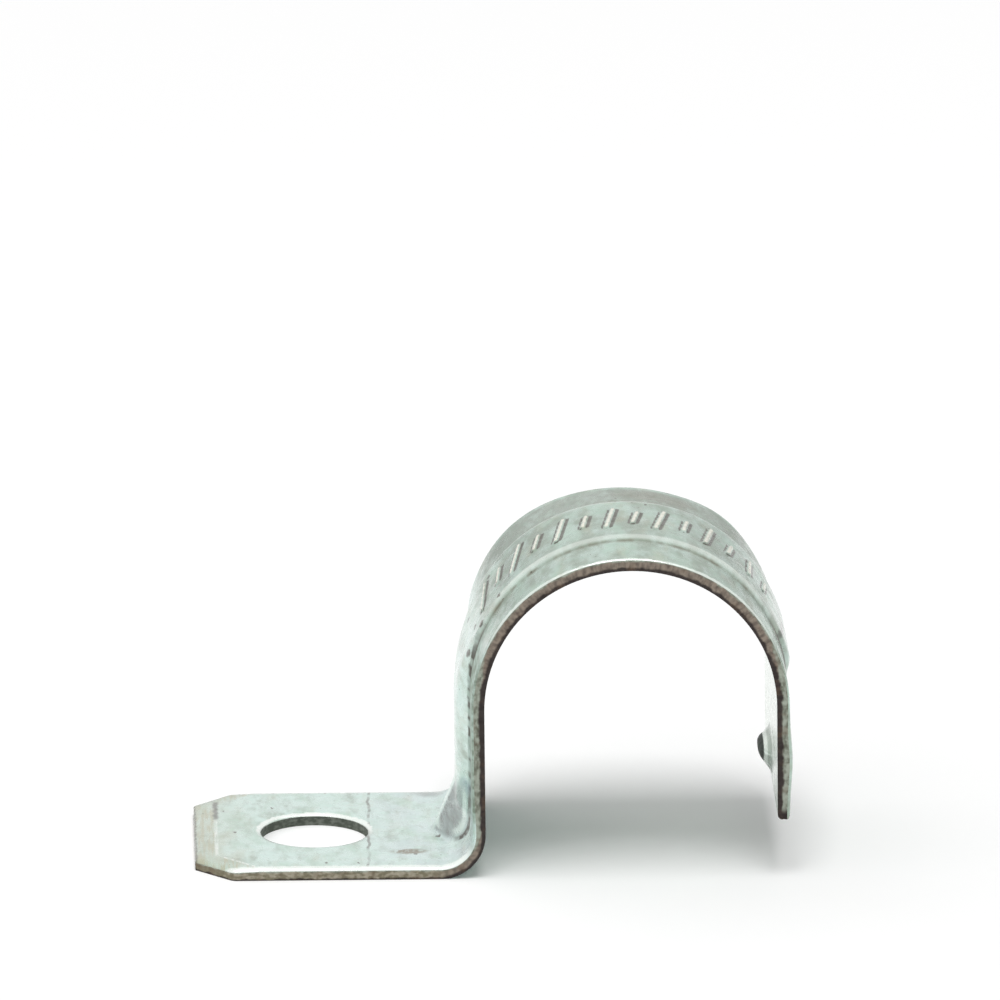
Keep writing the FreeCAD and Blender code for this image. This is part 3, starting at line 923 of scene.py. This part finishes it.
    def finished(self):
        """Coated except where the plate is etched, and thinly over the arch."""
        etched = self.greatest(self.flange, self.riser_root, self.nib_shade)
        uncoated = self.greatest(etched, self.product(self.over_arch, 0.7))
        self.plug(self.shader.inputs["Coat Weight"], self.ramp(uncoated, 0.0, 1.0, PLATE_COAT, 0.0))
        self.shader.inputs["Coat Roughness"].default_value = COAT_ROUGHNESS
        worn = self.ramp(self.noise(1.2, 3.0, shift=14.0), 0.3, 0.75, *PLATE_ROUGHNESS)
        roughness = self.total(worn, self.product(etched, ETCHED_ROUGHNESS))
        grain = self.bump(self.noise(7.0, 3.0, shift=3.0), 0.006)
        normal = self.bump(self.noise(1.6, 3.0, shift=8.0), 0.05, before=grain)
        return self.finish(PLATE_METALLIC, roughness, normal)


def zinc_material():
    plate = ZincPlate()
    plate.paint_mottles()
    plate.paint_nose()
    plate.paint_arch()
    plate.paint_riser()
    plate.paint_marks()
    plate.paint_rims()
    plate.paint_gusset()
    plate.paint_relief()
    plate.paint_leg()
    return plate.finished()


def sheared_material():
    """Cut steel: plated and speckled near the face, then brown, then dark where it tore."""
    m = Shading("sheared_steel", CUT_BROWN)
    riser = m.between(m.run, BEND_END - 1.5, BEND_END + 0.5, run_at_arch(6), run_at_arch(28))
    upright = m.greatest(riser, m.ramp(m.run, run_at_arch(150), run_at_arch(172)))
    foot = m.ramp(m.run, FOOT_END + 1.4, FOOT_END - 1.0)
    level = m.total(m.share, m.wobble(m.noise(1.7, 4.0, (1, 1, 0.3), shift=12.0), 0.6))
    striae = m.noise(3.6, 4.0, (1, 1, 0.35), shift=6.0)
    speckle = m.noise(2.6, 5.0, shift=44.0)

    m.paint(m.ramp(striae, 0.35, 0.70), CUT_DARK)
    by_nose = m.ramp(m.run, NOSE_X + 3.0, NOSE_X + 1.0, 0.0, 0.18)
    flecked = m.mix(m.ramp(m.total(speckle, by_nose), 0.36, 0.60), CUT_PALE, CUT_OLIVE)
    m.paint(m.product(foot, 0.9), flecked)
    plated = m.mix(m.ramp(speckle, 0.36, 0.70), CUT_PLATED, CUT_SPECK)
    plated_to = m.total(m.product(upright, 0.44), 0.10)
    m.paint(m.ramp(m.minus(level, plated_to), -0.10, 0.10, 1.0, 0.0), plated)
    torn_later = m.minus(m.product(foot, 0.12), m.product(upright, 0.20))
    torn = m.ramp(m.minus(level, torn_later), 0.58, 0.82, 0.0, 0.95)
    m.paint(m.greatest(torn, m.ramp(m.run, LEG_END - 0.9, LEG_END - 0.3)), CUT_TORN)
    m.paint(m.ramp(m.noise(1.1, 5.0, (1, 1, 0.5), shift=27.0), 0.50, 0.68, 0.0, 0.40), RUST)
    hole_wall = m.mix(m.ramp(speckle, 0.40, 0.70), HOLE_DARK, HOLE_PALE)
    m.paint(m.ramp(m.from_hole(), 0.3, 0.1), hole_wall)
    roughness = m.ramp(striae, 0.3, 0.7, *SHEARED_ROUGHNESS)
    return m.finish(SHEARED_METALLIC, roughness, m.bump(striae, 0.05))


# ---------------------------------------------------------------- floor, light and camera

FLOOR_SIZE = 6.0
FLOOR_CAST = (0.86, 0.86, 0.86, 1)      # the floor's colour for the light that it gives back
FLOOR_SEEN = (1, 1, 1, 1)               # and for the camera and the metal
STUDIO_SEEN = (0.60, 1.0)       # strength as seen, at the horizon and above
STUDIO_RISE = 0.30              # height in the sky at which it is full
STUDIO_FILL = (1.15, 0.0)       # strength as it lights the object, from -X and from +X
KEY_PLACE = (0.0, -0.34, 1.53)
KEY_AIM = (0.012, 0, 0.005)
KEY_SIZE = 0.80
KEY_POWER = 12.5


def seen_directly(nodes, links):
    """One for the camera's rays and those mirrored or let through, and nothing for the rest."""
    path = nodes.new("ShaderNodeLightPath")
    seen = path.outputs["Is Camera Ray"]
    for other in ("Is Glossy Ray", "Is Transmission Ray"):
        either = nodes.new("ShaderNodeMath")
        either.operation = "MAXIMUM"
        links.new(seen, either.inputs[0])
        links.new(path.outputs[other], either.inputs[1])
        seen = either.outputs[0]
    return seen


def add_floor():
    """A matt white floor, slightly darker for the light that it gives back to the object."""
    bpy.ops.mesh.primitive_plane_add(size=FLOOR_SIZE, location=(0, 0, 0))
    floor = bpy.context.object
    floor.name = "floor"
    material = bpy.data.materials.new("floor_white")
    material.use_nodes = True
    nodes, links = material.node_tree.nodes, material.node_tree.links
    nodes.clear()
    out = nodes.new("ShaderNodeOutputMaterial")
    matt = nodes.new("ShaderNodeBsdfDiffuse")
    shade = nodes.new("ShaderNodeMix")
    shade.data_type = "RGBA"
    shade.inputs[6].default_value = FLOOR_CAST
    shade.inputs[7].default_value = FLOOR_SEEN
    links.new(seen_directly(nodes, links), shade.inputs["Factor"])
    links.new(shade.outputs[2], matt.inputs["Color"])
    links.new(matt.outputs[0], out.inputs[0])
    floor.data.materials.append(material)


def add_key_light():
    """A square lamp high above the front."""
    lamp = bpy.data.lights.new("key", "AREA")
    lamp.shape = "SQUARE"
    lamp.size = KEY_SIZE
    lamp.energy = KEY_POWER
    holder = bpy.data.objects.new("key", lamp)
    holder.location = KEY_PLACE
    holder.rotation_mode = "QUATERNION"
    holder.rotation_quaternion = (Vector(KEY_AIM) - Vector(KEY_PLACE)).to_track_quat("-Z", "Y")
    bpy.context.collection.objects.link(holder)


def graded(nodes, links, place, span, strengths):
    """Strength that goes from the first to the second over a span of one axis of the sky."""
    node = nodes.new("ShaderNodeMapRange")
    for name, value in zip(("From Min", "From Max", "To Min", "To Max"), span + strengths):
        node.inputs[name].default_value = value
    links.new(place, node.inputs["Value"])
    return node


def add_world():
    """A white studio. The camera and the metal see it full, and darker towards the horizon. The
    light that it casts comes mostly from the foot's side."""
    world = bpy.data.worlds.new("studio")
    bpy.context.scene.world = world
    world.use_nodes = True
    nodes, links = world.node_tree.nodes, world.node_tree.links
    background = nodes["Background"]
    background.inputs["Color"].default_value = (1, 1, 1, 1)
    axes = nodes.new("ShaderNodeSeparateXYZ")
    links.new(nodes.new("ShaderNodeTexCoord").outputs["Generated"], axes.inputs[0])
    seen = graded(nodes, links, axes.outputs["Z"], (0.0, STUDIO_RISE), STUDIO_SEEN)
    seen.interpolation_type = "SMOOTHSTEP"
    cast = graded(nodes, links, axes.outputs["X"], (-1.0, 1.0), STUDIO_FILL)
    level = nodes.new("ShaderNodeMix")
    level.data_type = "FLOAT"
    links.new(seen_directly(nodes, links), level.inputs["Factor"])
    links.new(cast.outputs["Result"], level.inputs["A"])
    links.new(seen.outputs["Result"], level.inputs["B"])
    links.new(level.outputs["Result"], background.inputs["Strength"])


VIEW_AZIMUTH = math.radians(-1.85)
VIEW_ELEVATION = math.radians(17.0)
VIEW_DISTANCE = 0.894
VIEW_LENS = 516.7
SENSOR_WIDTH = 36.0
CLIP = (0.05, 20.0)
LOOKED_AT = Vector((0.012, 0.0, 0.010))
AIM_UP, AIM_RIGHT = 0.01162, -0.00041       # the object stands low in the frame


def add_camera():
    camera = bpy.data.objects.new("camera", bpy.data.cameras.new("camera"))
    bpy.context.collection.objects.link(camera)
    bpy.context.scene.camera = camera
    camera.data.lens = VIEW_LENS
    camera.data.sensor_width = SENSOR_WIDTH
    camera.data.clip_start, camera.data.clip_end = CLIP
    back = Vector((
        math.sin(VIEW_AZIMUTH) * math.cos(VIEW_ELEVATION),
        -math.cos(VIEW_AZIMUTH) * math.cos(VIEW_ELEVATION), math.sin(VIEW_ELEVATION)))
    right = Vector((math.cos(VIEW_AZIMUTH), math.sin(VIEW_AZIMUTH), 0))
    up = back.cross(right)
    camera.location = LOOKED_AT + back * VIEW_DISTANCE
    aim = LOOKED_AT + up * AIM_UP + right * AIM_RIGHT
    camera.rotation_mode = "QUATERNION"
    camera.rotation_quaternion = (aim - camera.location).to_track_quat("-Z", "Y")


# ---------------------------------------------------------------- the scene

def add_strap():
    strap = bpy.data.objects.new("strap_sheet", strap_mesh())
    bpy.context.collection.objects.link(strap)
    strap.data.materials.append(zinc_material())
    strap.data.materials.append(sheared_material())
    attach(strap, "root")
    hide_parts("strap")


add_strap()
add_floor()
add_world()
add_key_light()
add_camera()
bpy.context.scene.view_settings.view_transform = "Standard"
